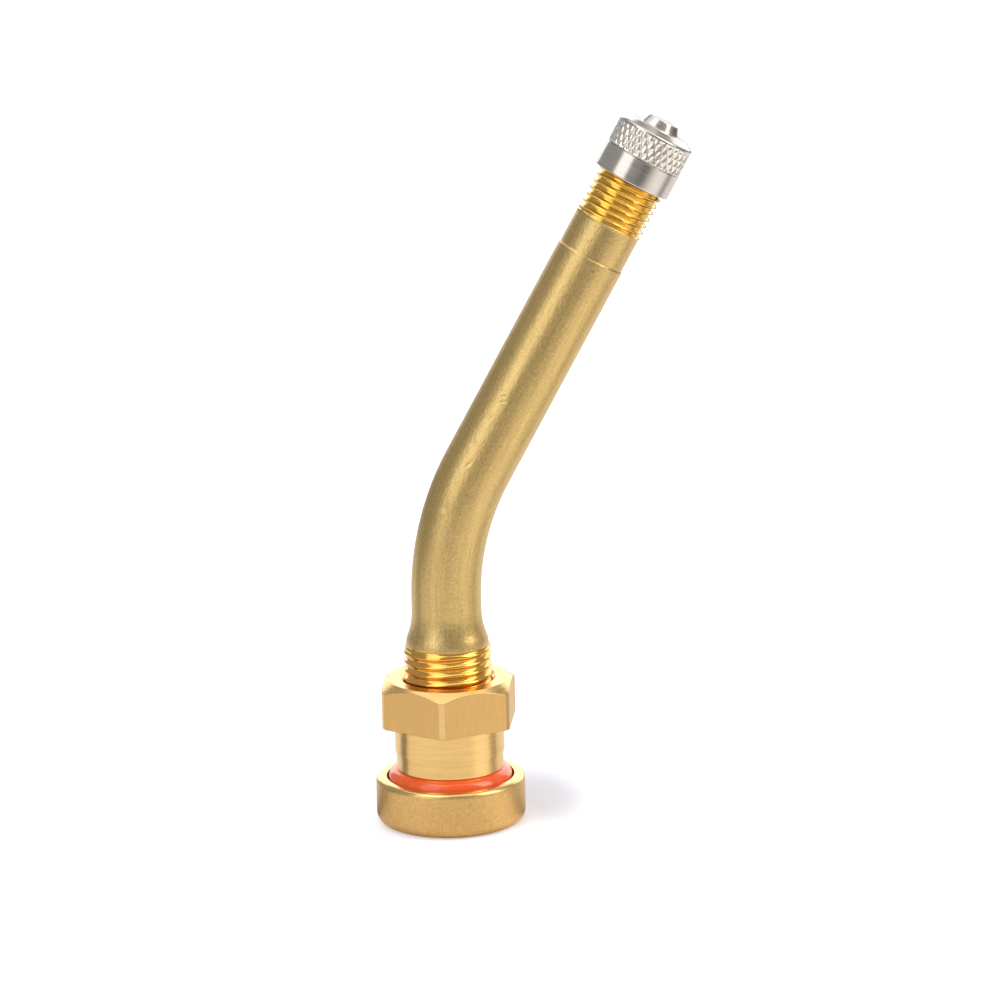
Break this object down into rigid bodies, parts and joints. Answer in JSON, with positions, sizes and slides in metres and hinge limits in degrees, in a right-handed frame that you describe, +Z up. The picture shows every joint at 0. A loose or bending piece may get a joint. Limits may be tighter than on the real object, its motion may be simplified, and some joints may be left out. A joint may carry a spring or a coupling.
{
  "type": "tyre valve",
  "caption": "Bent brass clamp-in tyre valve with a sealing ring on its base flange, a hexagon collar nut, a sprung core and a knurled dust cap.",
  "frame": {"origin": "centre of the base flange's underside", "axes": "+Z up the rim hole's axis, +X the way the tube bends"},
  "size_m": [0.0364, 0.0164, 0.0778],
  "materials": {
    "stem_brass": "satin, blasted, with bright threads",
    "nut_brass": "satin, drawn and turned",
    "core_brass": "turned",
    "cap_nickel": "nickel plated, turned and knurled",
    "ring_rubber": "smooth orange rubber",
    "black_rubber": "matt black rubber",
    "spring_steel": "drawn wire"
  },
  "bodies": {
    "stem": {"valve_stem": "stem_brass", "base_o_ring": "ring_rubber", "core_plug": "core_brass", "core_barrel": "core_brass", "core_barrel_gasket": "black_rubber", "core_spring": "spring_steel"},
    "nut": {"collar_nut": "nut_brass"},
    "cap seal": {"cap_gasket": "black_rubber"},
    "cap": {"valve_cap": "cap_nickel"},
    "pin": {"core_pin": "core_brass", "core_cup": "core_brass", "core_cup_seal": "black_rubber"}
  },
  "joints": [
    {"name": "nut_travel", "type": "slide", "parent": "stem", "child": "nut", "axis": [0, 0, 1], "range_m": [0, 0.0135]},
    {"name": "cap_lift", "type": "slide", "parent": "stem", "child": "cap seal", "axis": [0.5, 0, 0.866], "range_m": [0, 0.00436]},
    {"name": "cap_turn", "type": "hinge", "parent": "cap seal", "child": "cap", "pos_m": [0.0236, 0, 0.07406], "axis": [0.5, 0, 0.866], "range_deg": [0, 1980]},
    {"name": "pin_press", "type": "slide", "parent": "stem", "child": "pin", "axis": [-0.5, 0, -0.866], "range_m": [0, 0.0015], "stiffness_N_per_m": 300, "deforming": ["core_spring"]}
  ],
  "couplings": [
    {"joint": "cap_turn", "follows": "cap_lift", "rad_per_m": 7915.8}
  ]
}
